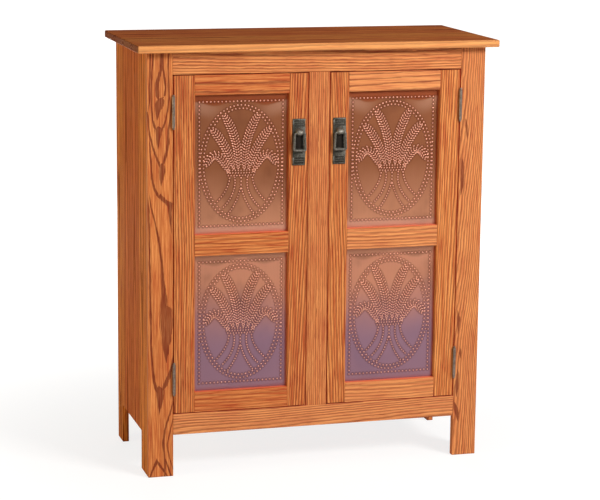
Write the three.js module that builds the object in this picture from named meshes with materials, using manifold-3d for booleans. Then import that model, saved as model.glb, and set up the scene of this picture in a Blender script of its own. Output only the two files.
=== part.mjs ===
// A pie safe: an oak cupboard with two inset doors, each with two punched copper panels.
// Lengths are millimetres. +X is to the right of someone facing the doors, the doors face -Y, +Z is up.
// The origin lies on the floor under the middle of the top board.

import * as THREE from "three";
import { mergeVertices } from "three/addons/utils/BufferGeometryUtils.js";
import Module from "manifold-3d";

const wasm = await Module();
wasm.setup();

// Clearance between pieces that rest on, fit into or pass each other
const fit = 0.3;

// Case
const caseWidth = 1016;
const caseDepth = 452;
const overallHeight = 1266;
const topThickness = 21;
const topOverhangFront = 34;
const topOverhangSide = 31;
const topOverhangBack = 16;
const topEdgeEase = 2.4;
const sideThickness = 19;
const floorThickness = 19;
const floorGrooveDepth = 6;
const backThickness = 6;
const backRabbetWidth = 9.5;
const frontFootDepth = 98;
const backFootDepth = 69;
const sideCutHeight = 117.5;
const nailerHeight = 80;
const nailerThickness = 19;
const cleatThickness = 19;
const edgeEase = 0.9;

// Face frame
const frameThickness = 19;
const frameStileWidth = 74.4;
const centreStileWidth = 62.6;
const frameTopRailHeight = 64.3;
const frameBottomRailHeight = 62.2;
const frameFootHeight = 124.8;

// Tenons and mortises of the face frame and of the doors
const tenonLength = 16;
const tenonThickness = 7;
const tenonShoulder = 8;

// Doors
const doorThickness = 20.5;
const hingeStileWidth = 60.6;
const latchStileWidth = 55.5;
const doorTopRailHeight = 57.4;
const doorMidRailHeight = 62.5;
const doorBottomRailHeight = 60.4;
const doorEndGap = 2.5;
const latchGap = 2.2;
const panelLap = 8;
const copperThickness = 0.6;
const backingThickness = 5;

// Butt hinges
const hingeLength = 89;
const hingeInset = 103.5;
const leafThickness = 1.05;
const leafWidth = 15;
const leafRootOverlap = 2;
const barrelRadius = 4.6;
const hingePinRadius = 2.2;
const hingeTipRadius = 3.5;
const hingeTipLength = 5.2;
const knuckleCount = 5;

// Pulls
const pullBelowDoorTop = 200;
const plateWidth = 38;
const plateHeight = 136;
const plateThickness = 2.6;
const plateEase = 0.8;
const bossWidth = 19.4;
const bossHeight = 26;
const bossProjection = 16;
const bossEase = 2.4;
const bossAboveCentre = 29;
const pivotBelowBoss = 3;
const pivotProud = 9.5;
const bailDrop = 53;
const bailBarWidth = 7;
const bailThickness = 6;
const bailBottomWidth = 42;
const bailEyeHalfHeight = 4.6;
const bailEase = 1.3;
const bailPinRadius = 2;
const bailPinLength = 5;

// Shelves and their pins
const shelfThickness = 19;
const shelfSetback = 14;
const pinRadius = 2.5;
const pinDepth = 9;
const pinNoseLength = 8;
const pinCollarRadius = 4.4;
const pinCollarThickness = 1.5;
const pinRowInset = 52;
const pinFirstHole = 130;
const pinPitch = 50;
const pinHoleCount = 15;
const lowerShelfHole = 4;
const upperShelfHole = 11;

// Magnetic catches
const catchWidth = 46;
const catchHeight = 19;
const catchDepth = 14;
const catchEase = 1.2;
const polePlateThickness = 1.4;
const polePlateProud = 1.2;
const polePlateWidth = 34;
const polePlateGap = 5;
const strikeWidth = 38;
const strikeHeight = 14;
const strikeThickness = 1.2;
const strikeEase = 0.3;
const catchFromCentre = 62;

// How far a cutting shape runs past the surface that it opens
const cutOverrun = 2;

// Facets of round shapes
const barrelFacets = 20;
const pinFacets = 14;
const holeFacets = 12;
const tipFacets = 5;
const bossFacets = 5;
const weldDistance = 1e-3;

// Derived places in the case
const faceY = -(caseDepth + topOverhangBack - topOverhangFront) / 2;
const frameBackY = faceY + frameThickness;
const backY = faceY + caseDepth;
const backPanelFrontY = backY - backThickness;
const innerX = caseWidth / 2 - sideThickness;
const topUnderZ = overallHeight - topThickness;
const caseTopZ = topUnderZ - fit;
const openingTopZ = caseTopZ - frameTopRailHeight;
const openingBottomZ = frameFootHeight + frameBottomRailHeight;
const openingNearX = centreStileWidth / 2;
const openingFarX = caseWidth / 2 - frameStileWidth;
const floorTopZ = openingBottomZ;

// Derived places in the doors
const hingeGap = 2 * leafThickness + 3 * fit;
const doorNearX = openingNearX + latchGap;
const doorFarX = openingFarX - hingeGap;
const doorBackY = faceY + doorThickness;
const doorTopZ = openingTopZ - doorEndGap;
const doorBottomZ = openingBottomZ + doorEndGap;
const railNearX = doorNearX + latchStileWidth;
const railFarX = doorFarX - hingeStileWidth;
const railHeights = doorTopRailHeight + doorMidRailHeight + doorBottomRailHeight;
const panelHeight = (doorTopZ - doorBottomZ - railHeights) / 2;
const lowerPanelZ = [doorBottomZ + doorBottomRailHeight, doorBottomZ + doorBottomRailHeight + panelHeight];
const upperPanelZ = [doorTopZ - doorTopRailHeight - panelHeight, doorTopZ - doorTopRailHeight];
const pocketDepth = 2 * fit + copperThickness + backingThickness;
const latchStileCentreX = doorNearX + latchStileWidth / 2;

// Derived places of the hinges, the pulls and the shelf pins
const hingeAxisX = openingFarX - hingeGap / 2;
const hingeAxisY = faceY - fit - barrelRadius;
const hingeBoreRadius = hingePinRadius + fit;
const hingeCentresZ = {
  upper: doorTopZ - hingeInset,
  lower: doorBottomZ + hingeInset,
};
const pullCentreZ = doorTopZ - pullBelowDoorTop;
const plateFrontY = faceY - fit - plateThickness;
const pivotY = plateFrontY - pivotProud;
const bossZ = pullCentreZ + bossAboveCentre;
const pivotZ = bossZ - pivotBelowBoss;
const pinHoleRadius = pinRadius + fit;
const shelfFrontY = doorBackY + shelfSetback;
const shelfBackY = backPanelFrontY - fit;
const pinRowsY = [shelfFrontY + pinRowInset, shelfBackY - pinRowInset];
const shelfEndX = innerX - 2 * fit - pinCollarThickness;

// Materials
function finish(colour, roughness, metalness) {
  return () => new THREE.MeshStandardMaterial({ color: colour, roughness, metalness });
}
const oak = finish(0xc67a3e, 0.45, 0);
const darkOak = finish(0x8a5228, 0.45, 0);
const plywood = finish(0xb98a58, 0.6, 0);
const copper = finish(0xb0705a, 0.35, 1);
const darkIron = finish(0x45484a, 0.55, 0.8);
const agedBrass = finish(0x7a6a4c, 0.45, 0.9);
const steel = finish(0xa8a8a4, 0.4, 1);
const brownPlastic = finish(0x4a3526, 0.6, 0);

// Turns a closed geometry into a solid that can be cut and joined.
function solidFrom(geometry) {
  const bare = geometry.index ? geometry.toNonIndexed() : geometry.clone();
  bare.deleteAttribute("normal");
  bare.deleteAttribute("uv");
  const merged = mergeVertices(bare, weldDistance);
  return new wasm.Manifold(
    new wasm.Mesh({
      numProp: 3,
      vertProperties: merged.attributes.position.array,
      triVerts: new Uint32Array(merged.index.array),
    }),
  );
}

// Turns a solid back into a geometry with a normal for each flat face.
function geometryFrom(solid) {
  const made = solid.getMesh();
  const places = new Float32Array(made.numVert * 3);
  for (let i = 0; i < made.numVert; i++) {
    places.set(made.vertProperties.subarray(i * made.numProp, i * made.numProp + 3), i * 3);
  }
  const indexed = new THREE.BufferGeometry();
  indexed.setAttribute("position", new THREE.BufferAttribute(places, 3));
  indexed.setIndex(new THREE.BufferAttribute(made.triVerts, 1));
  const flat = indexed.toNonIndexed();
  flat.computeVertexNormals();
  return flat;
}

// A plain block from its spans along X, Y and Z.
function block(spanX, spanY, spanZ) {
  const spans = [spanX, spanY, spanZ];
  const geometry = new THREE.BoxGeometry(...spans.map(([low, high]) => high - low));
  return solidFrom(geometry).translate(spans.map(([low, high]) => (low + high) / 2));
}

// A board from its spans along X, Y and Z, with every edge eased by a small flat.
function board(spanX, spanY, spanZ, ease = edgeEase) {
  const width = spanX[1] - spanX[0];
  const depth = spanY[1] - spanY[0];
  const outline = new THREE.Shape([
    new THREE.Vector2(ease, 0),
    new THREE.Vector2(width - ease, 0),
    new THREE.Vector2(width, ease),
    new THREE.Vector2(width, depth - ease),
    new THREE.Vector2(width - ease, depth),
    new THREE.Vector2(ease, depth),
    new THREE.Vector2(0, depth - ease),
    new THREE.Vector2(0, ease),
  ]);
  const geometry = new THREE.ExtrudeGeometry(outline, {
    depth: spanZ[1] - spanZ[0] - 2 * ease,
    bevelThickness: ease,
    bevelSize: ease,
    bevelOffset: -ease,
    bevelSegments: 1,
  });
  return solidFrom(geometry).translate([spanX[0], spanY[0], spanZ[0] + ease]);
}

// A round bar along X or Z from the middle of its axis.
function bar(radius, length, axis, centre, facets) {
  const geometry = new THREE.CylinderGeometry(radius, radius, length, facets);
  if (axis === "x") geometry.rotateZ(Math.PI / 2);
  if (axis === "z") geometry.rotateX(Math.PI / 2);
  return solidFrom(geometry).translate(centre);
}

// Spans widened by the same clearance at both ends, for the hole that a piece fits in.
function widened(spans, clearance = fit) {
  return spans.map(([low, high]) => [low - clearance, high + clearance]);
}

// A span on the left (side -1) or the right (side 1) of the middle, from its distances to the middle.
function across(side, near, far) {
  return side < 0 ? [-far, -near] : [near, far];
}

function joined(solid, others) {
  return others.reduce((sum, other) => sum.add(other), solid);
}

function cut(solid, others) {
  return others.reduce((rest, other) => rest.subtract(other), solid);
}

const pieSafe = new THREE.Group();

// Adds one named piece to a group.
function piece(group, name, solid, makeMaterial) {
  const mesh = new THREE.Mesh(geometryFrom(solid), makeMaterial());
  mesh.name = name;
  group.add(mesh);
}

const sides = { left: -1, right: 1 };

// Top board, floor, back and the two rails inside the top
function addCase() {
  const group = new THREE.Group();
  const topHalfWidth = caseWidth / 2 + topOverhangSide;
  const topSpanY = [faceY - topOverhangFront, backY + topOverhangBack];
  piece(
    group,
    "top_board",
    board([-topHalfWidth, topHalfWidth], topSpanY, [topUnderZ, overallHeight], topEdgeEase),
    darkOak,
  );

  const floorHalfWidth = innerX + floorGrooveDepth - fit;
  const floorSpanY = [frameBackY + fit, backPanelFrontY - fit];
  const floorSpanZ = [floorTopZ - floorThickness, floorTopZ];
  piece(group, "bottom_board", board([-floorHalfWidth, floorHalfWidth], floorSpanY, floorSpanZ), oak);

  const backHalfWidth = innerX + backRabbetWidth - fit;
  const backSpanZ = [floorTopZ - floorThickness, caseTopZ];
  const backSpanY = [backPanelFrontY, backY];
  piece(group, "back_panel", block([-backHalfWidth, backHalfWidth], backSpanY, backSpanZ), plywood);

  const railHalfWidth = innerX - fit;
  const nailerSpanY = [backPanelFrontY - fit - nailerThickness, backPanelFrontY - fit];
  const nailerSpanZ = [caseTopZ - nailerHeight, caseTopZ];
  piece(group, "back_nailer", board([-railHalfWidth, railHalfWidth], nailerSpanY, nailerSpanZ), oak);

  const cleatSpanY = [frameBackY + fit, frameBackY + fit + cleatThickness];
  const cleatSpanZ = [openingTopZ, caseTopZ];
  piece(group, "front_cleat", board([-railHalfWidth, railHalfWidth], cleatSpanY, cleatSpanZ), oak);
  pieSafe.add(group);
}

// Heights of the holes for the shelf pins
function pinHoleZ(index) {
  return floorTopZ + pinFirstHole + index * pinPitch;
}

// A side panel with its two feet, the groove for the floor, the rabbet for the back and the pin holes
function addSidePanels() {
  const group = new THREE.Group();
  for (const [name, side] of Object.entries(sides)) {
    const panelFrontY = frameBackY + fit;
    const outside = board(across(side, innerX, caseWidth / 2), [panelFrontY, backY], [0, caseTopZ]);
    const footGap = block(
      across(side, innerX - cutOverrun, caseWidth / 2 + cutOverrun),
      [faceY + frontFootDepth, backY - backFootDepth],
      [-cutOverrun, sideCutHeight],
    );
    const groove = block(
      across(side, innerX - cutOverrun, innerX + floorGrooveDepth),
      [panelFrontY - cutOverrun, backY + cutOverrun],
      [floorTopZ - floorThickness - fit, floorTopZ + fit],
    );
    const rabbet = block(
      across(side, innerX - cutOverrun, innerX + backRabbetWidth),
      [backPanelFrontY - fit, backY + cutOverrun],
      [floorTopZ - floorThickness - fit, caseTopZ + cutOverrun],
    );
    const holes = [];
    for (const rowY of pinRowsY) {
      for (let index = 0; index < pinHoleCount; index++) {
        const length = pinDepth + fit + cutOverrun;
        const middle = side * (innerX - cutOverrun + length / 2);
        holes.push(bar(pinHoleRadius, length, "x", [middle, rowY, pinHoleZ(index)], holeFacets));
      }
    }
    piece(group, name + "_side_panel", cut(outside, [footGap, groove, rabbet, ...holes]), oak);
  }
  pieSafe.add(group);
}

// Face frame: two outer stiles that reach the floor as feet, a centre stile and two rails
function addFaceFrame() {
  const group = new THREE.Group();
  const frameY = [faceY, frameBackY];
  const tenonFrontY = faceY + (frameThickness - tenonThickness) / 2;
  const tenonY = [tenonFrontY, tenonFrontY + tenonThickness];
  const railEndX = openingFarX - fit;
  const railSpans = {
    top: [openingTopZ, caseTopZ],
    bottom: [frameFootHeight, openingBottomZ],
  };

  const endTenons = Object.values(sides).map((side) =>
    Object.values(railSpans).map(([low, high]) => [
      across(side, railEndX - tenonLength, railEndX + tenonLength),
      tenonY,
      [low + tenonShoulder, high - tenonShoulder],
    ]),
  );
  const centreTenonX = [-openingNearX + tenonShoulder, openingNearX - tenonShoulder];
  const centreSpanZ = [openingBottomZ + fit, openingTopZ - fit];
  const centreTenons = centreSpanZ.map((end) => {
    return [centreTenonX, tenonY, [end - tenonLength, end + tenonLength]];
  });

  Object.entries(sides).forEach(([name, side], at) => {
    const stile = board(across(side, openingFarX, caseWidth / 2), frameY, [0, caseTopZ]);
    const mortises = endTenons[at].map((spans) => block(...widened(spans)));
    piece(group, "frame_" + name + "_stile", cut(stile, mortises), oak);
  });
  Object.entries(railSpans).forEach(([name, spanZ], at) => {
    const rail = board([-railEndX, railEndX], frameY, spanZ);
    const tenons = endTenons.map((tenonsOfSide) => block(...tenonsOfSide[at]));
    const mortises = centreTenons.map((spans) => block(...widened(spans)));
    piece(group, "frame_" + name + "_rail", cut(joined(rail, tenons), mortises), oak);
  });
  const centre = board([-openingNearX, openingNearX], frameY, centreSpanZ);
  piece(
    group,
    "frame_centre_stile",
    joined(
      centre,
      centreTenons.map((spans) => block(...spans)),
    ),
    oak,
  );
  pieSafe.add(group);
}

// One door: two stiles, three tenoned rails, and a copper sheet with its backing in each rabbeted pocket
function addDoor(name, side) {
  const group = new THREE.Group();
  const doorY = [faceY, doorBackY];
  const tenonFrontY = faceY + (doorThickness - pocketDepth - tenonThickness) / 2;
  const tenonY = [tenonFrontY, tenonFrontY + tenonThickness];
  const railX = [railNearX + fit, railFarX - fit];
  const rails = {
    top: [upperPanelZ[1], doorTopZ],
    mid: [lowerPanelZ[1], upperPanelZ[0]],
    bottom: [doorBottomZ, lowerPanelZ[0]],
  };
  const tenonsAt = (endX) =>
    Object.values(rails).map(([low, high]) => [
      across(side, endX - tenonLength, endX + tenonLength),
      tenonY,
      [low + tenonShoulder, high - tenonShoulder],
    ]);
  const latchTenons = tenonsAt(railX[0]);
  const hingeTenons = tenonsAt(railX[1]);
  const pockets = [lowerPanelZ, upperPanelZ].map(([low, high]) =>
    block(
      across(side, railNearX - panelLap, railFarX + panelLap),
      [doorBackY - pocketDepth, doorBackY + cutOverrun],
      [low - panelLap, high + panelLap],
    ),
  );

  const addStile = (kind, near, far, tenons) => {
    const stile = board(across(side, near, far), doorY, [doorBottomZ, doorTopZ]);
    const mortises = tenons.map((spans) => block(...widened(spans)));
    piece(group, name + "_door_" + kind + "_stile", cut(stile, [...mortises, ...pockets]), oak);
  };
  addStile("latch", doorNearX, railNearX, latchTenons);
  addStile("hinge", railFarX, doorFarX, hingeTenons);

  Object.entries(rails).forEach(([kind, spanZ], at) => {
    const rail = board(across(side, ...railX), doorY, spanZ);
    const tenons = [latchTenons[at], hingeTenons[at]].map((spans) => block(...spans));
    piece(group, name + "_door_" + kind + "_rail", joined(cut(rail, pockets), tenons), oak);
  });

  const sheetX = across(side, railNearX - panelLap + fit, railFarX + panelLap - fit);
  const copperFrontY = doorBackY - pocketDepth + fit;
  const backingFrontY = doorBackY - backingThickness;
  for (const [kind, [low, high]] of Object.entries({ lower: lowerPanelZ, upper: upperPanelZ })) {
    const sheetZ = [low - panelLap + fit, high + panelLap - fit];
    const sheet = block(sheetX, [copperFrontY, copperFrontY + copperThickness], sheetZ);
    piece(group, name + "_door_" + kind + "_copper", sheet, copper);
    const backing = block(sheetX, [backingFrontY, doorBackY], sheetZ);
    piece(group, name + "_door_" + kind + "_backing", backing, plywood);
  }

  const strikeX = across(side, catchFromCentre - strikeWidth / 2, catchFromCentre + strikeWidth / 2);
  const strikeY = [doorBackY + fit, doorBackY + fit + strikeThickness];
  const strikeMiddleZ = openingTopZ - fit - catchHeight / 2;
  const strikeZ = [strikeMiddleZ - strikeHeight / 2, strikeMiddleZ + strikeHeight / 2];
  piece(group, name + "_strike_plate", board(strikeX, strikeY, strikeZ, strikeEase), steel);
  pieSafe.add(group);
}

// A magnetic catch under the front cleat, with its two pole plates towards the door
function addCatch(name, side) {
  const poleFrontY = doorBackY + 2 * fit + strikeThickness;
  const bodyFrontY = poleFrontY + polePlateProud;
  const bodyX = across(side, catchFromCentre - catchWidth / 2, catchFromCentre + catchWidth / 2);
  const bodyZ = [openingTopZ - fit - catchHeight, openingTopZ - fit];
  const body = board(bodyX, [bodyFrontY, bodyFrontY + catchDepth], bodyZ, catchEase);
  const middleZ = (bodyZ[0] + bodyZ[1]) / 2;
  const poles = [-1, 1].map((level) => {
    const poleZ = middleZ + (level * (polePlateGap + polePlateThickness)) / 2;
    return block(
      across(side, catchFromCentre - polePlateWidth / 2, catchFromCentre + polePlateWidth / 2),
      [poleFrontY, bodyFrontY + polePlateProud],
      [poleZ - polePlateThickness / 2, poleZ + polePlateThickness / 2],
    );
  });
  piece(pieSafe, name + "_catch", joined(body, poles), brownPlastic);
}

// One leaf of a hinge: a plate in the gap and its share of the knuckles, bored for the pin
function hingeLeaf(axisX, middleZ, plateX, firstKnuckle) {
  const lowZ = middleZ - hingeLength / 2;
  const knucklePitch = (hingeLength + fit) / knuckleCount;
  const plateSpanY = [hingeAxisY + barrelRadius + fit, faceY + leafWidth];
  const plate = block(plateX, plateSpanY, [lowZ, lowZ + hingeLength]);
  const knuckles = [];
  for (let index = firstKnuckle; index < knuckleCount; index += 2) {
    const low = lowZ + index * knucklePitch;
    const high = low + knucklePitch - fit;
    knuckles.push(bar(barrelRadius, high - low, "z", [axisX, hingeAxisY, (low + high) / 2], barrelFacets));
    const rootSpanY = [hingeAxisY, plateSpanY[0] + leafRootOverlap];
    knuckles.push(block(plateX, rootSpanY, [low, high]));
  }
  const boreLength = hingeLength + 2 * cutOverrun;
  const bore = bar(hingeBoreRadius, boreLength, "z", [axisX, hingeAxisY, middleZ], barrelFacets);
  return joined(plate, knuckles).subtract(bore);
}

// The hinge pin: a straight shaft with a turned tip above and below the barrel
function hingePin() {
  const half = hingeLength / 2 + fit;
  const tip = [];
  for (let step = 0; step <= tipFacets; step++) {
    const turn = (step / tipFacets) * (Math.PI / 2);
    tip.push(new THREE.Vector2(hingeTipRadius * Math.cos(turn), half + hingeTipLength * Math.sin(turn)));
  }
  tip[tipFacets].x = 0;
  const upper = [new THREE.Vector2(hingePinRadius, half), ...tip];
  const lower = upper.map((point) => new THREE.Vector2(point.x, -point.y)).reverse();
  const geometry = new THREE.LatheGeometry([...lower, ...upper], pinFacets);
  geometry.rotateX(Math.PI / 2);
  return solidFrom(geometry);
}

function addHinge(sideName, side, levelName, middleZ) {
  const group = new THREE.Group();
  const axisX = side * hingeAxisX;
  const frameLeafX = across(side, openingFarX - fit - leafThickness, openingFarX - fit);
  const doorLeafX = across(side, doorFarX + fit, doorFarX + fit + leafThickness);
  const name = sideName + "_" + levelName + "_hinge_";
  piece(group, name + "frame_leaf", hingeLeaf(axisX, middleZ, frameLeafX, 0), agedBrass);
  piece(group, name + "door_leaf", hingeLeaf(axisX, middleZ, doorLeafX, 1), agedBrass);
  piece(group, name + "pin", hingePin().translate([axisX, hingeAxisY, middleZ]), agedBrass);
  pieSafe.add(group);
}

// The back plate of a pull with the domed boss that carries the bail
function pullPlate(centreX) {
  const plate = board(
    [centreX - plateWidth / 2, centreX + plateWidth / 2],
    [plateFrontY, faceY - fit],
    [pullCentreZ - plateHeight / 2, pullCentreZ + plateHeight / 2],
    plateEase,
  );
  const dome = new THREE.Shape();
  dome.absellipse(0, 0, bossProjection, bossHeight / 2, -Math.PI / 2, Math.PI / 2);
  const geometry = new THREE.ExtrudeGeometry(dome, {
    depth: bossWidth - 2 * bossEase,
    curveSegments: bossFacets,
    bevelThickness: bossEase,
    bevelSize: bossEase,
    bevelOffset: -bossEase,
    bevelSegments: 1,
  });
  // The profile is drawn with the way out of the plate along X, and turned to face -Y.
  geometry.translate(-plateThickness / 2, 0, bossEase - bossWidth / 2);
  geometry.rotateX(Math.PI / 2);
  geometry.rotateZ(-Math.PI / 2);
  const boss = solidFrom(geometry).translate([centreX, plateFrontY, bossZ]);
  const boreLength = bossWidth + 2 * cutOverrun;
  const bore = bar(bailPinRadius + fit, boreLength, "x", [centreX, pivotY, pivotZ], pinFacets);
  return plate.add(boss).subtract(bore);
}

// The bail: two splayed legs and a bottom bar, with a pin on each leg that springs into the boss
function bail(centreX) {
  const topInner = bossWidth / 2 + fit;
  const topOuter = topInner + bailBarWidth;
  const bottomOuter = bailBottomWidth / 2;
  const bottomInner = bottomOuter - bailBarWidth;
  const rightHalf = [
    [bottomInner, -bailDrop + bailBarWidth],
    [topInner, -bailEyeHalfHeight],
    [topInner, bailEyeHalfHeight],
    [topOuter, bailEyeHalfHeight],
    [topOuter, -bailEyeHalfHeight],
    [bottomOuter, -bailDrop + bailEase],
    [bottomOuter - bailEase, -bailDrop],
  ];
  const leftHalf = rightHalf.map(([x, z]) => [-x, z]).reverse();
  const outline = new THREE.Shape([...rightHalf, ...leftHalf].map(([x, z]) => new THREE.Vector2(x, z)));
  const geometry = new THREE.ExtrudeGeometry(outline, {
    depth: bailThickness - 2 * bailEase,
    bevelThickness: bailEase,
    bevelSize: bailEase,
    bevelOffset: -bailEase,
    bevelSegments: 1,
  });
  geometry.translate(0, 0, bailEase - bailThickness / 2);
  geometry.rotateX(Math.PI / 2);
  const ring = solidFrom(geometry).translate([centreX, pivotY, pivotZ]);
  const pins = Object.values(sides).map((side) => {
    const pinMiddle = (topInner - bailPinLength + topOuter - bailBarWidth / 2) / 2;
    const pinLength = bailPinLength + bailBarWidth / 2;
    return bar(bailPinRadius, pinLength, "x", [centreX + side * pinMiddle, pivotY, pivotZ], pinFacets);
  });
  return joined(ring, pins);
}

// A shelf pin along X: a shank in the side panel, a collar against it and a nose under the shelf
function shelfPin(side) {
  const profile = [
    [0, -pinDepth],
    [pinRadius, -pinDepth],
    [pinRadius, fit],
    [pinCollarRadius, fit],
    [pinCollarRadius, fit + pinCollarThickness],
    [pinRadius, fit + pinCollarThickness],
    [pinRadius, fit + pinCollarThickness + pinNoseLength],
    [0, fit + pinCollarThickness + pinNoseLength],
  ];
  const geometry = new THREE.LatheGeometry(
    profile.map(([radius, along]) => new THREE.Vector2(radius, along)),
    pinFacets,
  );
  geometry.rotateZ((side * Math.PI) / 2);
  return solidFrom(geometry);
}

function addShelf(name, holeIndex) {
  const group = new THREE.Group();
  const pinZ = pinHoleZ(holeIndex);
  const shelfBottomZ = pinZ + pinRadius + fit;
  const shelfSpanZ = [shelfBottomZ, shelfBottomZ + shelfThickness];
  const shelf = board([-shelfEndX, shelfEndX], [shelfFrontY, shelfBackY], shelfSpanZ);
  piece(group, name + "_shelf", shelf, oak);
  for (const [sideName, side] of Object.entries(sides)) {
    ["front", "back"].forEach((rowName, row) => {
      const pinName = [name, "shelf_pin", sideName, rowName].join("_");
      piece(group, pinName, shelfPin(side).translate([side * innerX, pinRowsY[row], pinZ]), steel);
    });
  }
  pieSafe.add(group);
}

addCase();
addSidePanels();
addFaceFrame();
addShelf("lower", lowerShelfHole);
addShelf("upper", upperShelfHole);
for (const [name, side] of Object.entries(sides)) {
  addDoor(name, side);
  addCatch(name, side);
  for (const [levelName, middleZ] of Object.entries(hingeCentresZ)) {
    addHinge(name, side, levelName, middleZ);
  }
  const pullX = side * latchStileCentreX;
  piece(pieSafe, name + "_pull_plate", pullPlate(pullX), darkIron);
  piece(pieSafe, name + "_pull_bail", bail(pullX), darkIron);
}

export default pieSafe;
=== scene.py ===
"""An oak pie safe with punched copper panels, finished for a studio view. Metres, +Z up."""
import itertools
import math

import bmesh
import bpy
from mathutils import Matrix, Vector


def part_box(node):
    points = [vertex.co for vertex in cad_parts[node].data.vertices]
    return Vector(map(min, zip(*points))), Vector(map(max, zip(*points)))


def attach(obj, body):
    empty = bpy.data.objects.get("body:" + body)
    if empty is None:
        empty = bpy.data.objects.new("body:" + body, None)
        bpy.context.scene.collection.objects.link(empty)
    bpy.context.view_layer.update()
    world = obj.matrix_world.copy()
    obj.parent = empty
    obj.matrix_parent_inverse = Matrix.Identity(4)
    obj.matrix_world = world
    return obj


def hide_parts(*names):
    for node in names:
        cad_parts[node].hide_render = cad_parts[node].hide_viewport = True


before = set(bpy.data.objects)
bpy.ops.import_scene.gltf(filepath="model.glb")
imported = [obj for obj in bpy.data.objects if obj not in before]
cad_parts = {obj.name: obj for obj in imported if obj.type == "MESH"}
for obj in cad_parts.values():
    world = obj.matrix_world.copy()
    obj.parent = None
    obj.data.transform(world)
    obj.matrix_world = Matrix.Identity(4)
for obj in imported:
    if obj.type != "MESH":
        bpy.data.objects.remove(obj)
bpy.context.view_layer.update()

MM = 0.001

# Camera, as the photograph was taken
EYE = Vector((-1.7080, -5.9473, 1.8430))
HEADING = math.radians(-16.10)
PITCH = math.radians(-11.227)
ROLL = math.radians(0.595)
LENS = 124.85
SENSOR = 36.0


def srgb(red, green, blue):
    """A display colour, 0 to 255 a channel, as the linear colour that Blender mixes."""
    def linear(c):
        c = c / 255
        return c / 12.92 if c <= 0.04045 else ((c + 0.055) / 1.055) ** 2.4
    return (linear(red), linear(green), linear(blue), 1.0)


def show(name, mesh, crease=None):
    """The object that shows a mesh with smooth faces. They meet in a crease where the angle between them is
    sharper than crease, in degrees."""
    mesh.name = name
    for face in mesh.polygons:
        face.use_smooth = True
    if crease:
        mesh.set_sharp_from_angle(angle=math.radians(crease))
    piece = bpy.data.objects.new(name, mesh)
    bpy.context.scene.collection.objects.link(piece)
    return piece


def operator(operation):
    """The two methods of an operator: with the wire before it, and with the wire after it."""
    return (lambda wire, other: wire.bench.maths(operation, wire, other),
            lambda wire, other: wire.bench.maths(operation, other, wire))


class Wire:
    """A socket that can stand in a sum: an expression on wires adds the nodes that work it out."""

    __add__, __radd__ = operator("ADD")
    __sub__, __rsub__ = operator("SUBTRACT")
    __mul__, __rmul__ = operator("MULTIPLY")
    __truediv__, __rtruediv__ = operator("DIVIDE")
    __pow__, __rpow__ = operator("POWER")
    __gt__, __lt__ = operator("GREATER_THAN")

    def __init__(self, bench, socket):
        self.bench = bench
        self.socket = socket

    def root(self):
        return self.bench.maths("SQRT", self)

    def size(self):
        return self.bench.maths("ABSOLUTE", self)

    def whole(self):
        return self.bench.maths("FLOOR", self)

    def most(self, other):
        return self.bench.maths("MAXIMUM", self, other)

    def unit(self):
        """Held between 0 and 1."""
        return self.bench.maths("ADD", self, 0.0, clamp=True)

    def step(self, low, high):
        """A soft step from 0 at low to 1 at high."""
        settings = {"interpolation_type": "SMOOTHSTEP"}
        inputs = {"Value": self, "From Min": low, "From Max": high}
        return self.bench.add("ShaderNodeMapRange", settings, inputs)

    def parts(self):
        """The three parts of a vector, or the red, green and blue of a colour."""
        node = self.bench.add("ShaderNodeSeparateXYZ", None, (self,), None)
        return [Wire(self.bench, output) for output in node.outputs]


class Bench:
    """A node tree in the making."""

    def __init__(self, tree):
        self.tree = tree
        tree.nodes.clear()

    def add(self, kind, settings=None, inputs=None, output=0):
        """One node: its settings first, then the values or links of its inputs. Gives the wire of one output,
        or the node itself where the output is None."""
        node = self.tree.nodes.new(kind)
        for name, value in (settings or {}).items():
            if name == "stops":
                self.set_stops(node.color_ramp, value)
            else:
                setattr(node, name, value)
        pairs = inputs.items() if isinstance(inputs, dict) else enumerate(inputs or ())
        for key, value in pairs:
            for one in value if isinstance(value, list) else [value]:
                if isinstance(one, Wire):
                    self.tree.links.new(one.socket, node.inputs[key])
                else:
                    node.inputs[key].default_value = one
        return Wire(self, node.outputs[output]) if output is not None else node

    @staticmethod
    def set_stops(ramp, stops):
        while len(ramp.elements) < len(stops):
            ramp.elements.new(1.0)
        for element, (place, colour) in zip(ramp.elements, stops):
            element.position = place
            element.color = colour

    def maths(self, operation, *terms, clamp=False):
        return self.add("ShaderNodeMath", {"operation": operation, "use_clamp": clamp}, terms)

    def vector(self, x, y, z):
        return self.add("ShaderNodeCombineXYZ", None, (x, y, z))


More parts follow.
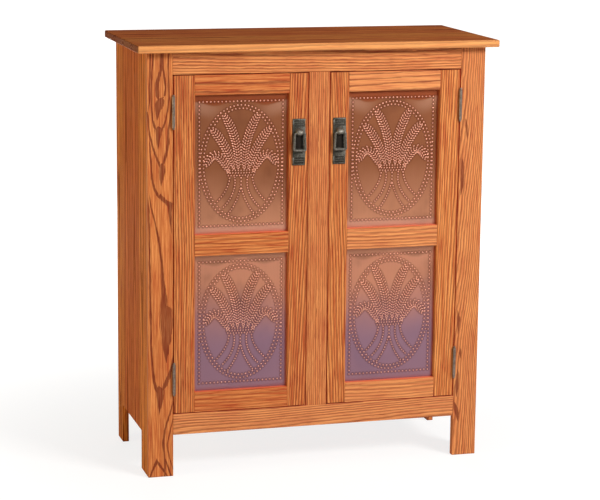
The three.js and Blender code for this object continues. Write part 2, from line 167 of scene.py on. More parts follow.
class Finish(Bench):
    """A material whose patterns are solid, laid out on the piece's own coordinates."""

    def __init__(self, name):
        self.material = bpy.data.materials.new(name)
        self.material.use_nodes = True
        super().__init__(self.material.node_tree)
        self.place = self.add("ShaderNodeTexCoord", None, None, "Object")
        self.x, self.y, self.z = self.place.parts()
        self.axes = {"X": self.x, "Y": self.y, "Z": self.z}

    def noise(self, where, detail, scale=1.0):
        return self.add("ShaderNodeTexNoise", None, {"Vector": where, "Scale": scale, "Detail": detail})

    def pattern(self, paces, detail):
        """Noise that comes round so many times in a metre along X, Y and Z."""
        places = (axis * pace for axis, pace in zip((self.x, self.y, self.z), paces))
        return self.noise(self.vector(*places), detail)

    def chance(self, number):
        """A number from 0 to 1 drawn for each whole number."""
        return self.add("ShaderNodeTexWhiteNoise", {"noise_dimensions": "1D"}, {"W": number})

    def blend(self, first, second, factor, kind="MIX"):
        settings = {"data_type": "RGBA", "blend_type": kind}
        return self.add("ShaderNodeMix", settings, {0: factor, 6: first, 7: second}, 2)

    def bump(self, height, distance, strength):
        inputs = {"Height": height, "Distance": distance, "Strength": strength}
        return self.add("ShaderNodeBump", None, inputs)

    def surface(self, **values):
        """The last shader, with underscores in a name for the spaces of its socket's name."""
        shader = self.add("ShaderNodeBsdfPrincipled", None,
                          {name.replace("_", " "): value for name, value in values.items()})
        self.add("ShaderNodeOutputMaterial", None, {"Surface": shader}, None)
        return self.material


# Oak: a log's rings round a leaning pith, cut by each board where the board lies

OAK_PALE = srgb(230, 150, 80)
OAK_WARM = srgb(210, 120, 60)
OAK_DEEP = srgb(178, 76, 36)
OAK_PORE = srgb(104, 26, 10)
# Painted red light on the walls of the door gaps
OAK_GAP_LIGHT = srgb(220, 62, 52)
# A painted red highlight along the top of the door rails under the panels
OAK_LIP_HIGHLIGHT = srgb(236, 104, 66)
OAK_BLUSH = srgb(232, 156, 106)
# Pale streaks in the grain, and a painted highlight along the top board's front edge
OAK_STREAK_AND_HIGHLIGHT = srgb(250, 176, 108)
OAK_END = srgb(92, 44, 18)
# Painted shade, darker and more amber, on the top board's top face and on the left side panel
AMBER_SHADE = (1.0, 0.88, 0.62, 1.0)
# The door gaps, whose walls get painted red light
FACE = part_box("frame_left_stile")[0].y
DOOR_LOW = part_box("right_door_latch_stile")[0]
DOOR_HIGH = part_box("right_door_hinge_stile")[1]
GAP_DEPTH = 17 * MM
GAP_WIDTH = 4 * MM
# The top board's top face and front edge, which bound its painted shade and painted highlight
TOP_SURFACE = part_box("top_board")[1].z
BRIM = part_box("top_board")[0].y
# The long, wide and thin axis of a board, by the way its grain runs
BOARD_AXES = {"X": ("X", "Z", "Y"), "Z": ("Z", "X", "Y"), "ZY": ("Z", "Y", "X"), "XY": ("X", "Y", "Z")}
# The places across and the half widths that a line of figure can have
VEIN_REACH = 100 * MM
VEIN_WIDEST = 30 * MM
# How unevenly one year's ring follows another, as a share of a ring
RING_SPREAD_SHARE = 0.7


class Oak(Finish):
    """Stained oak on one board, laid out along, across and behind the board's middle."""

    def __init__(self, name, grain, centre, half_length, staves, seed):
        super().__init__(name)
        long_axis, wide_axis, thin_axis = BOARD_AXES[grain]
        middle = dict(zip("XYZ", centre))
        self.height = self.axes[long_axis]
        self.along = self.height - middle[long_axis]
        self.across = self.axes[wide_axis] - middle[wide_axis]
        self.depth = self.axes[thin_axis] - middle[thin_axis]
        self.end_grain = self.along.size().step(half_length - 1.4 * MM, half_length - 0.6 * MM)
        self.seed = self.shift = seed
        self.stave_tone = 0.0
        if staves:
            self.lay_staves(staves)
        across, depth, along, shift = self.across, self.depth, self.along, self.shift
        self.slow = self.noise(self.vector(across * 5.0 + shift, depth * 5.0, along * 1.7 + shift), 1.0) - 0.5
        self.brisk = self.noise(self.vector(across * 32.0, depth * 32.0 + shift, along * 16.0), 2.0) - 0.5
        self.streak = self.noise(self.vector(across * 520.0, depth * 520.0, along * 26.0), 2.0)
        self.fine = self.noise(self.vector(across * 420.0, depth * 420.0, along * 9.0), 3.0)
        self.flecks = self.streak.step(0.55, 0.7)

    def lay_staves(self, width):
        """Glues the board up from staves, each cut from another part of the log."""
        count = self.across / width
        number = count.whole()
        chance = self.chance(number + self.seed)
        self.across = (count - number - 0.5) * width
        self.along = self.along + (chance - 0.5) * 1.6
        self.shift = chance * 7.0 + self.seed
        self.stave_tone = chance - 0.5

    def rings(self, pith, eye, lean, ring, wander, wiggle, dark, ragged):
        """The dark early wood of each year's ring, from the log's leaning heart."""
        side = self.across - pith[0] + self.slow * (wander * 3.0)
        behind = self.depth - pith[1]
        heart = (side * side + behind * behind).root()
        away = ((self.along - eye) ** 2.0 + (ring * 0.3 / lean) ** 2).root()
        growth = (heart + away * lean + self.slow * (wander * 2.0) + self.brisk * (wander * wiggle)) / ring
        uneven = self.noise(self.vector(growth * 0.45 + self.shift, 0.0, 0.0), 1.0)
        tip = 1 - side.size().step(3 * MM, 17 * MM)
        years = growth + (uneven - 0.5) * RING_SPREAD_SHARE + (self.streak - 0.5) * (tip * 0.4 + ragged)
        year = years.whole()
        season = years - year
        early = season.step(0.0, 0.06) * (1 - (season / (tip * 0.5 + 1)).step(dark * 0.6, dark * 1.3))
        return early * (0.7 + self.chance(year + self.seed) * 0.3) * (0.74 + self.flecks * 0.26)

    def figure_line(self, stations):
        """Dark lines of figure, one under another down a board. stations are (height, place across, half
        width) in mm, from the top, with a half width of 0 where one line ends and the next begins. The edges
        are ragged along the grain."""
        top, foot = stations[0][0] * MM, stations[-1][0] * MM
        stops = []
        for up, aside, half in stations:
            mark = (0.5 + aside * MM / VEIN_REACH, half * MM / VEIN_WIDEST, 0, 1)
            stops.append(((top - up * MM) / (top - foot), mark))
        line = self.add("ShaderNodeValToRGB", {"stops": stops}, ((top - self.height) / (top - foot),))
        place, wide, _ = line.parts()
        half = wide.most(0.0) * VEIN_WIDEST
        aside = self.across - (place - 0.5) * VEIN_REACH + self.brisk * (5 * MM)
        ragged = (half / (4 * MM)).unit() * (1.6 * MM) + half * 1.3
        inside = half + 0.5 * MM - aside.size() + (self.streak - 0.5) * ragged
        soft = (aside * -1).most(0.0) * 0.6 + 1.4 * MM
        tone = (0.96 - half * 8.0) * (self.streak.step(0.3, 0.62) * 0.24 + 0.76)
        return inside.step(-0.6 * MM, soft) * (half / MM).unit() * tone

    def ground(self, blotch, red, blush):
        """The colour between the rings: broad clouds with fine pale and deep streaks."""
        across, depth = self.across * 14.0, self.depth * 14.0
        broad = self.noise(self.vector(across + self.shift, depth, self.along * 1.1 + 3.0), 2.0)
        tone = (broad * 1.1 + self.fine * 0.7 - 0.45 + self.stave_tone * blotch * 2.0).unit()
        colour = self.blend(OAK_PALE, OAK_WARM, tone)
        colour = self.blend(colour, OAK_STREAK_AND_HIGHLIGHT, (1 - self.fine).step(0.48, 0.66) * 0.4)
        deep = self.fine.step(0.42, 0.66) * 0.74 + self.flecks * 0.44 + red
        colour = self.blend(colour, OAK_DEEP, deep.unit())
        return self.blend(colour, OAK_BLUSH, blush) if blush else colour

    def gap_walls(self):
        """1 on the walls of the gaps round the doors, just behind the face, where red light is painted."""
        behind = self.y - FACE
        wall = behind.step(MM, 2.4 * MM) * (1 - behind.step(GAP_DEPTH - 0.5 * MM, GAP_DEPTH + 0.5 * MM))
        x, z = self.x.size(), self.z
        beyond = (DOOR_LOW.x - x).most(x - DOOR_HIGH.x).most(DOOR_LOW.z - z).most(z - DOOR_HIGH.z)
        across_gap = 1 - beyond.step(GAP_WIDTH - 0.2 * MM, GAP_WIDTH + 0.4 * MM)
        return wall * (beyond.step(-1.4 * MM, -0.8 * MM) * across_gap)


def oak(name, grain, centre, half_length, pith=(0.0, 0.03), eye=0.0, lean=0.06, ring=0.0085, wander=0.006,
        wiggle=0.35, dark=0.48, ragged=0.3, vein=1.0, veins=(), staves=0.0, seed=0.0, blotch=0.5, red=0.0,
        blush=0.0, amber=0.0, shaded_top=None, lip_highlight=None, gap_light=True, sheen=0.2):
    """Stained oak. grain names the board's long, wide and thin axes. The heart of the log lies at pith,
    across and behind the board's middle; its rings turn back at eye, lean is how fast, ring is a year's
    width, and wander, wiggle and ragged are how unruly they are. dark is the early wood's share of a year
    and vein how strongly it shows; veins are lines of figure drawn one by one. shaded_top is the height of
    a top that gets painted shade on its face and a painted highlight along its front edge, and lip_highlight
    that of an edge with a painted red highlight. amber is how strongly a side gets painted amber shade, and
    gap_light whether the walls of the door gaps get painted red light."""
    wood = Oak(name, grain, centre, half_length, staves, seed)
    band = wood.rings(pith, eye, lean, ring, wander, wiggle, dark, ragged) * vein
    for stations in veins:
        band = band.most(wood.figure_line(stations))
    colour = wood.blend(wood.ground(blotch, red, blush), OAK_PORE, (band * 0.94).unit())
    colour = wood.blend(colour, OAK_END, wood.end_grain * 0.6)
    # A painted highlight along the top board's front edge, and painted shade on its top face
    if shaded_top is not None:
        flat_top = wood.z.step(shaded_top - 1.2 * MM, shaded_top - 0.4 * MM)
        rear = wood.y.step(BRIM + 3 * MM, BRIM + 6 * MM)
        colour = wood.blend(colour, OAK_STREAK_AND_HIGHLIGHT, (1 - rear) * 0.45)
        colour = wood.blend(colour, AMBER_SHADE, flat_top * rear, "MULTIPLY")
    # Painted amber shade on a side that faces away from the light
    if amber:
        colour = wood.blend(colour, AMBER_SHADE, amber, "MULTIPLY")
    # A painted red highlight along the top edge of a rail
    if lip_highlight is not None:
        colour = wood.blend(colour, OAK_LIP_HIGHLIGHT, wood.z.step(lip_highlight - 0.9 * MM, lip_highlight - 0.3 * MM) * 0.8)
    # Painted red light on the walls of the door gaps
    if gap_light:
        colour = wood.blend(colour, OAK_GAP_LIGHT, wood.gap_walls() * 0.9)
    hollow = 1 - (band * 0.7 + wood.flecks * 0.3)
    return wood.surface(Base_Color=colour, Roughness=0.5 + band * 0.2 - wood.fine * 0.08,
                        Normal=wood.bump(hollow, 0.35 * MM, 0.35), Specular_IOR_Level=sheen)


def plywood(name):
    """Birch-faced plywood, seen from behind and behind the copper."""
    wood = Finish(name)
    grain = wood.pattern((60.0, 60.0, 3.0), 3.0)
    cloud = wood.pattern((6.0, 6.0, 1.2), 2.0)
    ground = wood.blend(srgb(206, 150, 96), srgb(172, 108, 60), (grain * 0.9 + cloud * 0.6 - 0.3).unit())
    return wood.surface(Base_Color=ground, Roughness=0.62 - grain * 0.1,
                        Normal=wood.bump(grain, 0.3 * MM, 0.3))


# Metals

COPPER_TARNISH = srgb(92, 52, 36)
# A painted violet reflection
COPPER_VIOLET_REFLECTION = srgb(146, 116, 142)
# A painted gleam
COPPER_PAINTED_GLEAM = srgb(206, 152, 126)
# A painted reflection near the sheet's foot
COPPER_FOOT_REFLECTION = srgb(222, 164, 146)
# A painted reflection of the wood towards the sheet's sides
COPPER_WOOD_REFLECTION = srgb(206, 104, 60)
# Painted shade round the marks
COPPER_MARK_SHADE = srgb(96, 40, 28)
# A painted highlight on the raised marks
COPPER_MARK_HIGHLIGHT = srgb(244, 178, 154)
# Darker behind the front of a pull plate's grooves, and a painted shadow on the plate behind the bail
IRON_DARKENING = srgb(30, 22, 17)
# The rim of a copper sheet that the door's frame covers
COVERED = 7.7 * MM
# How far the shade under the rail hangs down the sheet, at its top and in its two swags
SHADE_HANG = 17 * MM
SWAG_HANG = 17 * MM


def copper(name, low, high, violet_reflection, light, dark, shade):
    """Aged copper sheet, brushed upright, with painted light and shade: painted shading, light at the foot
    and darker towards the top; a painted shadow where it hangs under the rail, with a painted gleam below it;
    painted reflections near its foot, and redder ones of the wood towards its edges; and a painted violet
    reflection over the lower part of the lower panels. Its raised marks carry a painted highlight, with
    painted shade round them."""
    metal = Finish(name)
    brushed = metal.pattern((900.0, 300.0, 12.0), 3.0)
    cloud = metal.noise(metal.vector(metal.x * 9.0 + low.z, metal.y * 9.0, metal.z * 7.0), 3.0)
    height = (metal.z - low.z) / (high.z - low.z)
    half_width = (high.x - low.x) / 2
    sideways = (metal.x - (low.x + high.x) / 2).size() / half_width
    # Painted shading: light at the foot, darker towards the top
    bright = metal.blend(light, dark, (height * 2.2 + cloud * 0.4 - 0.25).unit())
    tarnish = (cloud.step(0.5, 0.8) * 0.4 + (1 - brushed) * 0.2).unit()
    colour = metal.blend(bright, COPPER_TARNISH, tarnish)
    # A painted violet reflection over the lower part of the lower panels
    if violet_reflection:
        reflection_mask = (0.80 - height + (cloud - 0.5) * 0.2).step(0.0, 0.5)
        colour = metal.blend(colour, COPPER_VIOLET_REFLECTION, reflection_mask * violet_reflection)
    # Painted shadow under the rail, hanging lower in two swags
    swag = (1 - (sideways - 0.52).size().step(0.0, 0.5)) * SWAG_HANG
    drape = high.z - COVERED - metal.z - SHADE_HANG - swag - (cloud - 0.5) * (20 * MM)
    colour = metal.blend(colour, shade, (1 - drape.step(-7 * MM, 5 * MM)) * (0.62 - violet_reflection * 0.25))
    # A painted gleam just below the painted shadow under the rail
    gleam = drape.step(-2 * MM, 4 * MM) * (1 - drape.step(8 * MM, 50 * MM)) * sideways.step(0.2, 0.8)
    colour = metal.blend(colour, COPPER_PAINTED_GLEAM, gleam * (1 - violet_reflection) * 0.5)
    # A painted reflection near the sheet's foot
    from_foot = (metal.z - low.z - COVERED + (cloud - 0.5) * (12 * MM)).size()
    colour = metal.blend(colour, COPPER_FOOT_REFLECTION, (1 - from_foot.step(12 * MM, 30 * MM)) * (1 - violet_reflection) * 0.5)
    # Painted reflections of the wood towards the sheet's sides
    from_side = (1 - sideways) * half_width - COVERED
    colour = metal.blend(colour, COPPER_WOOD_REFLECTION, (1 - from_side.step(0.0, 9 * MM)) * 0.65)
    raised = metal.add("ShaderNodeAttribute", {"attribute_name": "raised"}, None, "Fac")
    # Painted shade round each mark
    colour = metal.blend(colour, COPPER_MARK_SHADE, (raised * -1).unit() * 0.6)
    # A painted highlight on the raised marks
    colour = metal.blend(colour, COPPER_MARK_HIGHLIGHT, raised.unit() * (0.78 - violet_reflection * 0.16))
    return metal.surface(Base_Color=colour, Metallic=0.9, Roughness=0.36 + brushed * 0.12,
                         Normal=metal.bump(brushed, 0.2 * MM, 0.25))


def dark_iron(name, low_tone, high_tone, beaten, darkening=None):
    """Hammered iron with a worn pewter sheen on its high places. The last argument, if given, says where a
    plate is darkened: behind the front of its grooves, and with a painted shadow where the bail covers it."""
    metal = Finish(name)
    dents = metal.add("ShaderNodeTexVoronoi", {"feature": "SMOOTH_F1"},
                      {"Vector": metal.place, "Scale": 260.0, "Smoothness": 0.6})
    cloud = metal.noise(metal.place, 4.0, 90.0)
    colour = metal.blend(low_tone, high_tone, (dents * 0.9 + cloud * 0.5 - 0.35).unit())
    # Darker behind the front of the grooves, and a painted shadow on the plate where the bail covers it
    if darkening:
        groove_y, half_x, middle_x, low_z, high_z = darkening
        grooves = metal.y.step(groove_y - 0.3 * MM, groove_y + 0.2 * MM)
        aside = (metal.x.size() - middle_x).size()
        between = metal.z.step(low_z, low_z + 5 * MM) * (1 - metal.z.step(high_z, high_z + 5 * MM))
        hollow = (1 - aside.step(half_x - 2 * MM, half_x + 2 * MM)) * between
        colour = metal.blend(colour, IRON_DARKENING, (grooves * 0.6 + hollow * 0.92).unit())
    return metal.surface(Base_Color=colour, Metallic=0.8, Roughness=0.46 + cloud * 0.16,
                         Normal=metal.bump(dents + cloud * 0.3, 0.6 * MM, beaten))


def aged_brass(name):
    metal = Finish(name)
    cloud = metal.noise(metal.place, 4.0, 140.0)
    scratch = metal.pattern((500.0, 500.0, 40.0), 2.0)
    colour = metal.blend(srgb(172, 158, 152), srgb(108, 92, 80), (cloud * 1.2 + scratch * 0.4 - 0.3).unit())
    return metal.surface(Base_Color=colour, Metallic=0.9, Roughness=0.34 + cloud * 0.2,
                         Normal=metal.bump(scratch, 0.2 * MM, 0.3))


def steel(name):
    metal = Finish(name)
    cloud = metal.noise(metal.place, 3.0, 220.0)
    scratch = metal.pattern((700.0, 90.0, 700.0), 2.0)
    colour = metal.blend(srgb(190, 190, 188), srgb(140, 138, 132), (cloud * 0.8 + scratch * 0.4 - 0.2).unit())
    return metal.surface(Base_Color=colour, Metallic=1.0, Roughness=0.28 + cloud * 0.2,
                         Normal=metal.bump(scratch, 0.1 * MM, 0.3))


def brown_plastic(name):
    plastic = Finish(name)
    grain = plastic.noise(plastic.place, 3.0, 900.0)
    cloud = plastic.noise(plastic.place, 2.0, 40.0)
    colour = plastic.blend(srgb(96, 62, 42), srgb(78, 48, 32), (cloud * 1.2 - 0.1).unit())
    return plastic.surface(Base_Color=colour, Roughness=0.45 + grain * 0.15,
                           Normal=plastic.bump(grain, 0.1 * MM, 0.4))


# Boards

def wear_oak(node, grain, **figure):
    """Gives a wooden node its own board of oak. The rails under a panel opening get a painted red highlight
    along their top.
    """
    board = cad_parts[node]
    board.data.materials.clear()
    low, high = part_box(node)
    half_length = (high - low)["XYZ".index(BOARD_AXES[grain][0])] / 2
    if node.endswith(("mid_rail", "bottom_rail")) and "door" in node:
        figure = {**figure, "lip_highlight": high.z}
    board.data.materials.append(oak(f"oak_{node}", grain, (low + high) / 2, half_length, **figure))


# The lines of figure that show on the front stiles, drawn one by one: (height, place across, half width)
LEFT_STILE_VEINS = (
    ((1245, -27, 2.5), (1110, -30, 2.5), (1070, -35, 0), (1000, -31, 0), (970, -29, 2.5), (885, -23, 3.5),
     (855, -17, 4), (835, -7, 5), (825, -1, 0), (376, 42, 0), (374, 42, 4), (330, 32, 4), (300, 22, 7),
     (275, 12, 8), (255, 3, 0), (196, 42, 0), (194, 42, 1.5), (150, 31, 2), (95, 18, 2), (55, 25, 2),
     (0, 44, 1.5)),
    ((1245, -19, 2.5), (1140, -25, 2.5), (1095, -25, 2.5), (1055, -21, 3), (1030, -14, 4), (1018, -6, 0),
     (842, 0, 0), (832, 2, 8), (820, 11, 10), (814, 24, 14), (802, 28, 8), (780, 29, 5), (715, 34, 0),
     (276, -6, 0), (263, -3, 14), (245, -3, 12.5), (225, -3, 8.5), (210, -4, 5), (185, -5, 0), (56, -12, 0),
     (46, -13, 6.5), (35, -19, 5), (20, -27, 3), (0, -33, 2.5)),
    ((1245, 27, 2.5), (1200, 24, 2.5), (1115, 26, 2.5), (1080, 22, 2.5), (1053, 17, 3), (1030, 8, 4),
     (1017, -1, 0), (930, 5, 0), (922, 5, 9), (905, 5, 10), (885, 4, 6), (860, 3, 0), (850, -37, 0),
     (790, -33, 2.5), (590, -31, 3), (400, -28, 3), (340, -25, 3.5), (290, -20, 4.5), (265, -13, 5.5),
     (250, -9, 0), (243, 42, 0), (242, 42, 2), (190, 27, 2.5), (140, 11, 4), (100, 6, 3.5), (57, 11, 2.5)),
    ((1245, 5, 3.5), (1195, 3, 5), (1178, -3, 6), (1160, -8, 6.5), (1140, -9, 6.5), (1120, -7, 7),
     (1104, -3, 0), (1078, -36, 0), (1077, -36, 1.5), (1055, -34, 2.5), (1010, -30, 3), (977, -22, 3.5),
     (945, -10, 3.5), (925, -2, 4.5), (910, 2, 0), (853, -34, 0), (805, -27, 2.5), (760, -16, 2.5),
     (705, -4, 3.5), (635, 4, 3.5), (590, 6, 4.5), (540, 9, 9.5), (513, 8, 12), (500, 16, 21), (455, 15, 22),
     (420, 15, 16), (390, 15, 11), (340, 18, 0)),
    ((1245, 9, 2), (1195, 10, 3), (1175, 13, 3.5), (1145, 17, 3), (1123, 14, 3.5), (1118, 12, 0),
     (1117, 3, 0), (1112, 1, 12), (1100, -2, 15), (1087, -5, 12), (1075, -7, 7), (1050, -8, 0), (1036, -5, 0),
     (1027, -4, 14), (1012, -5, 10), (995, -6, 5), (965, -6, 0), (58, 10, 0), (57, 11, 2.5), (0, 30, 2.5)),
    ((1120, 38, 0), (1115, 37, 2), (1055, 30, 2.5), (1020, 24, 3.5), (987, 23, 4.5), (957, 17, 4),
     (930, 10, 4), (915, 5, 0), (52, -11, 0), (40, -6, 5), (25, 3, 4), (0, 19, 2.5)),
)
RIGHT_STILE_VEINS = (
    ((1035, -20, 0), (1010, -17, 5), (985, -14, 3), (960, -12, 0), (920, -28, 0), (890, -26, 6),
     (855, -26, 7), (830, -27, 5), (800, -29, 0), (455, -30, 0), (430, -27, 6), (400, -26, 4), (375, -27, 0),
     (345, -20, 0), (320, -18, 4), (300, -17, 0), (275, -26, 0), (250, -25, 5), (210, -26, 6), (180, -27, 0),
     (170, -34, 0), (150, -30, 8), (130, -24, 7), (100, -18, 0)),
)
# How each board was sawn, from the figure that it shows
DOOR_RAIL = dict(grain="X", pith=(0.06, 0.09), lean=0.02, ring=0.0055)
SHELF = dict(grain="XY", pith=(0.02, -0.05), lean=0.015, staves=0.13)
BOARDS = {
    "top_board": dict(grain="XY", pith=(0.03, -0.04), lean=0.01, ring=0.012, staves=0.125, seed=2.0,
                      shaded_top=TOP_SURFACE, gap_light=False, blotch=0.9),
    "bottom_board": dict(grain="XY", pith=(0.02, -0.06), lean=0.02, staves=0.11, seed=5.0),
    "back_nailer": dict(grain="X", pith=(0.05, 0.04), seed=8.0),
    "front_cleat": dict(grain="X", pith=(0.05, 0.04), seed=9.0),
    "left_side_panel": dict(grain="ZY", pith=(0.01, 0.03), lean=0.02, ring=0.013, staves=0.113, seed=3.0,
                            dark=0.36, gap_light=False, blotch=0.9, amber=1.0, sheen=0.04),
    "right_side_panel": dict(grain="ZY", pith=(0.01, -0.03), lean=0.02, ring=0.012, staves=0.113, seed=6.0,
                             gap_light=False, blotch=0.7),
    "frame_left_stile": dict(grain="Z", pith=(0.0, 0.06), eye=0.4, lean=0.02, ring=0.009, seed=2.3,
                             wander=0.006, vein=0.25, red=0.1, ragged=0.16, veins=LEFT_STILE_VEINS),
    "frame_right_stile": dict(grain="Z", pith=(-0.05, 0.05), eye=0.62, lean=0.05, ring=0.0046, seed=4.3,
                              wander=0.008, wiggle=0.6, vein=0.85, blush=0.2, veins=RIGHT_STILE_VEINS),
    "frame_top_rail": dict(grain="X", pith=(0.06, 0.10), lean=0.014, eye=0.2, ring=0.0045, seed=7.1,
                           wander=0.009, dark=0.44, ragged=0.45, vein=0.85, blush=0.2),
    "frame_bottom_rail": dict(grain="X", pith=(-0.05, 0.06), eye=0.5, lean=0.02, ring=0.0052, seed=11.0,
                              wander=0.008, vein=0.85, blush=0.35),
    "frame_centre_stile": dict(grain="Z", pith=(0.16, 0.10), lean=0.008, ring=0.0052, seed=12.0, wander=0.003,
                               vein=0.85, ragged=0.7, blush=0.15, red=0.1),
    "left_door_hinge_stile": dict(grain="Z", pith=(-0.15, 0.10), lean=0.01, ring=0.0058, seed=13.0,
                                  wander=0.006, red=0.1, ragged=0.5),
    "left_door_latch_stile": dict(grain="Z", pith=(0.07, 0.05), eye=-0.6, lean=0.035, ring=0.006, seed=14.0,
                                  red=0.15),
    "left_door_top_rail": dict(grain="X", pith=(0.05, 0.07), lean=0.02, ring=0.012, seed=15.0, wander=0.014,
                               dark=0.34, red=0.3),
    "left_door_mid_rail": dict(DOOR_RAIL, seed=16.0, vein=0.6, wander=0.009, red=0.2),
    "left_door_bottom_rail": dict(DOOR_RAIL, seed=17.0, vein=0.5, red=0.3),
    "right_door_latch_stile": dict(grain="Z", pith=(-0.09, 0.07), eye=-0.6, lean=0.03, ring=0.006, seed=18.0,
                                   red=0.08),
    "right_door_hinge_stile": dict(grain="Z", pith=(0.07, 0.06), eye=-0.62, lean=0.03, ring=0.0056, seed=19.4,
                                   wander=0.007, vein=0.85),
    "right_door_top_rail": dict(grain="X", pith=(-0.05, 0.08), lean=0.02, ring=0.01, seed=20.0, wander=0.01,
                                dark=0.25, blush=0.3),
    "right_door_mid_rail": dict(DOOR_RAIL, seed=21.0, vein=0.7, wander=0.012, blush=0.32),
    "right_door_bottom_rail": dict(DOOR_RAIL, seed=22.0, vein=0.6, blush=0.3),
    "lower_shelf": dict(SHELF, seed=23.0),
    "upper_shelf": dict(SHELF, seed=24.0),
}


def dress_boards():
    for node, figure in BOARDS.items():
        wear_oak(node, **figure)
    ply = plywood("plywood")
    for node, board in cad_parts.items():
        if node == "back_panel" or node.endswith("backing"):
            board.data.materials.clear()
            board.data.materials.append(ply)


# Punched copper panels

# How finely the sheet is divided, which lets it carry the painted shade round its marks
SHEET_CELLS = (100, 141)
# The pattern, in mm from the sheet's middle: half sizes, and curves through three points on the right half
BORDER = (123.8, 180.5)
OVALS = ((121.7, 169.8), (111.4, 160.3))
EARS = (
    ((9.0, -15.0), (5.0, 68.0), (49.0, 139.0)),
    ((22.0, -15.0), (41.0, 52.0), (84.0, 99.0)),
    ((37.0, -24.0), (72.0, 62.0), (104.0, 0.0)),
)
STALKS = (
    ((34.0, -42.0), (37.3, -76.0), (70.0, -108.0)),
    ((19.0, -40.0), (12.3, -87.0), (52.0, -126.0)),
    ((2.0, -74.0), (12.0, -114.0), (37.0, -145.0)),
)
MIDDLE_STALK = ((0.0, -42.0), (0.0, -56.0), (0.0, -72.0))
TIES = (
    ((-42.0, -19.0), (0.0, -21.0), (42.0, -19.0)),
    ((-41.0, -26.5), (0.0, -28.5), (41.0, -26.5)),
    ((-38.0, -34.0), (0.0, -36.0), (38.0, -34.0)),
)
# The rows of grains on each side of an ear: share of the half ear, and lead along the ear
EAR_ROWS = ((0.33, 0.0), (1.0, 4 * MM))
GRAIN_LEAN = math.radians(50)
TIE_LEAN = math.radians(60)
# The distance between marks, as a share of the border's
OVAL_PITCH_SHARE = 0.975
LINE_PITCH_SHARE = 0.66
EAR_PITCH_SHARE = 0.68
PUNCH = {"Dot": 5.4 * MM, "Dot Height": 1.8 * MM, "Grain Length": 8.2 * MM, "Grain Width": 4.2 * MM,
         "Pitch": 11.27 * MM, "Half Ear": 10.5 * MM, "Bow": 0.9 * MM}
# The painted shade round a mark, from where it starts to where it ends
MARK_SHADE_SPAN = (0.5 * MM, 4.2 * MM)


class Shaping(Bench):
    """A geometry tree in the making, with its named inputs."""

    def __init__(self, name, sizes):
        self.group = bpy.data.node_groups.new(name, "GeometryNodeTree")
        super().__init__(self.group)
        self.keys = {}
        for label in sizes:
            made = self.group.interface.new_socket(label, in_out="INPUT", socket_type="NodeSocketFloat")
            self.keys[label] = made.identifier
        made = self.group.interface.new_socket("Material", in_out="INPUT", socket_type="NodeSocketMaterial")
        self.keys["Material"] = made.identifier
        self.group.interface.new_socket("Geometry", in_out="OUTPUT", socket_type="NodeSocketGeometry")
        self.entry = self.add("NodeGroupInput", None, None, None)

    def given(self, label):
        return Wire(self, self.entry.outputs[label])

    def finish(self, geometry):
        whole = self.add("GeometryNodeRealizeInstances", None, (geometry,))
        dressed = self.add("GeometryNodeSetMaterial", None,
                           {"Geometry": whole, "Material": self.given("Material")})
        self.add("NodeGroupOutput", None, (dressed,), None)

    def make(self, name, values, material, matrix, crease=None):
        """The tree's result for these values, as a plain mesh object with its place in its mesh."""
        holder = bpy.data.objects.new(name + "_form", bpy.data.meshes.new(name + "_form"))
        bpy.context.scene.collection.objects.link(holder)
        modifier = holder.modifiers.new("form", "NODES")
        modifier.node_group = self.group
        for label, value in values.items():
            modifier[self.keys[label]] = value
        modifier[self.keys["Material"]] = material
        bpy.context.view_layer.update()
        ready = holder.evaluated_get(bpy.context.evaluated_depsgraph_get())
        mesh = bpy.data.meshes.new_from_object(ready)
        bpy.data.objects.remove(holder)
        mesh.transform(matrix)
        return show(name, mesh, crease)


def dome_mark(work):
    """A mark of unit size, flattened on top, that carries 1 as raised where it stands above the sheet."""
    add = work.add
    ball = add("GeometryNodeMeshUVSphere", None, (8, 5, 1.0))
    tall = add("GeometryNodeInputPosition", None, None).parts()[2]
    flattened = add("GeometryNodeSetPosition", None,
                    {"Geometry": ball, "Selection": tall > 0.9, "Offset": (0.0, 0.0, -0.35)})
    return add("GeometryNodeStoreNamedAttribute", {"data_type": "FLOAT", "domain": "POINT"},
               {"Geometry": flattened, "Name": "raised", "Value": tall.step(-0.1, 0.35)})


